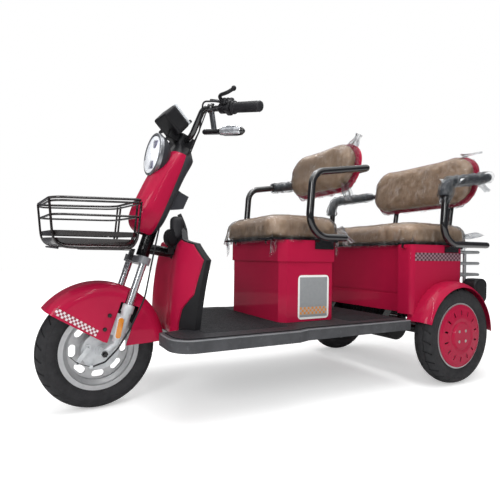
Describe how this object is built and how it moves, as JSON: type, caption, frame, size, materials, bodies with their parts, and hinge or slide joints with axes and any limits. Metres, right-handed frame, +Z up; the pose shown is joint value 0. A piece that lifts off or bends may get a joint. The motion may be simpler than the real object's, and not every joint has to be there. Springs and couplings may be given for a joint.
{
  "type": "electric tricycle",
  "caption": "Two-row electric passenger tricycle: steered front wheel with basket and lamp, flat floor, padded bench seats with armrests, luggage rails.",
  "frame": {"origin": "on the ground, half-way along and half-way across the vehicle", "axes": "+X towards the rear, +Y to the rider's right, +Z up"},
  "size_m": [1.9456, 0.7626, 1.1031],
  "materials": {
    "battery_case": "moulded",
    "black_plastic": "moulded, fine grain",
    "black_steel": "gloss black powder coat",
    "cast_alloy": "cast, satin",
    "chrome": "bright chrome plate",
    "dark_grey_plastic": "moulded, satin",
    "grey_plastic": "moulded, satin",
    "grey_steel": "satin grey paint",
    "lens": "clear moulded lens",
    "red_panel": "gloss painted ABS",
    "rubber": "moulded, matte",
    "seat_cover": "tan artificial leather",
    "steel": "zinc plated",
    "tyre": "moulded tread",
    "wheel_silver": "silver paint on cast aluminium"
  },
  "bodies": {
    "root": {"head_frame": "black_steel", "floor_frame": "black_steel", "floor_tray": "grey_plastic", "floor_mat": "rubber", "leg_shield": "red_panel", "inner_panel": "black_plastic", "horn": "black_plastic", "seat_box": "red_panel", "front_back_pad": "seat_cover", "front_back_shell": "red_panel", "front_arm_frame": "black_steel", "battery": "battery_case", "rear_body": "red_panel", "rear_fenders": "red_panel", "tail_lamps": "black_plastic", "rear_seat_frame": "black_steel", "rear_back_pad": "seat_cover", "rear_back_shell": "red_panel", "rear_arm_frame": "black_steel", "rear_rails": "grey_steel", "rear_axle": "black_steel", "drive_motor": "cast_alloy", "leaf_springs": "black_steel"},
    "steering": {"fork_crown": "grey_steel", "fork_sliders": "cast_alloy", "fork_stanchions": "chrome", "front_axle": "steel", "brake_plate": "cast_alloy", "front_mudguard": "red_panel", "cowl_front": "red_panel", "cowl_back": "dark_grey_plastic", "headlamp_bucket": "black_plastic", "headlamp_bezel": "chrome", "headlamp_lens": "lens", "meter": "black_plastic", "handlebar": "black_steel", "bar_clamp": "dark_grey_plastic", "grips": "rubber", "hand_controls": "black_plastic", "indicators": "black_plastic", "basket": "black_steel", "control_cables": "rubber", "brake_cable": "rubber"},
    "front_wheel": {"front_tyre": "tyre", "front_rim": "wheel_silver"},
    "rear_wheel_left": {"rear_tyre_left": "tyre", "rear_rim_left": "wheel_silver", "wheel_cover_left": "red_panel"},
    "rear_wheel_right": {"rear_tyre_right": "tyre", "rear_rim_right": "wheel_silver", "wheel_cover_right": "red_panel"},
    "front_lid": {"front_seat_base": "black_plastic", "front_cushion": "seat_cover"},
    "rear_lid": {"rear_seat_base": "black_plastic", "rear_cushion": "seat_cover"}
  },
  "joints": [
    {"name": "steering_turn", "type": "hinge", "parent": "root", "child": "steering", "pos_m": [-0.72243, 0, 0.19225], "axis": [0.3206, 0, 0.9472], "range_deg": [-41, 29]},
    {"name": "front_wheel_spin", "type": "hinge", "parent": "steering", "child": "front_wheel", "pos_m": [-0.76576, -0.00481, 0.20692], "axis": [-0.099, 0.9945, 0.0335], "continuous": true},
    {"name": "rear_left_wheel_spin", "type": "hinge", "parent": "root", "child": "rear_wheel_left", "pos_m": [0.674, -0.335, 0.207], "axis": [0, 1, 0], "continuous": true},
    {"name": "rear_right_wheel_spin", "type": "hinge", "parent": "root", "child": "rear_wheel_right", "pos_m": [0.674, 0.335, 0.207], "axis": [0, 1, 0], "continuous": true},
    {"name": "front_seat_lid", "type": "hinge", "parent": "root", "child": "front_lid", "pos_m": [-0.138, 0, 0.592], "axis": [0, -1, 0], "range_deg": [0, 75]},
    {"name": "rear_seat_lid", "type": "hinge", "parent": "root", "child": "rear_lid", "pos_m": [0.44, 0, 0.584], "axis": [0, -1, 0], "range_deg": [0, 75]}
  ]
}
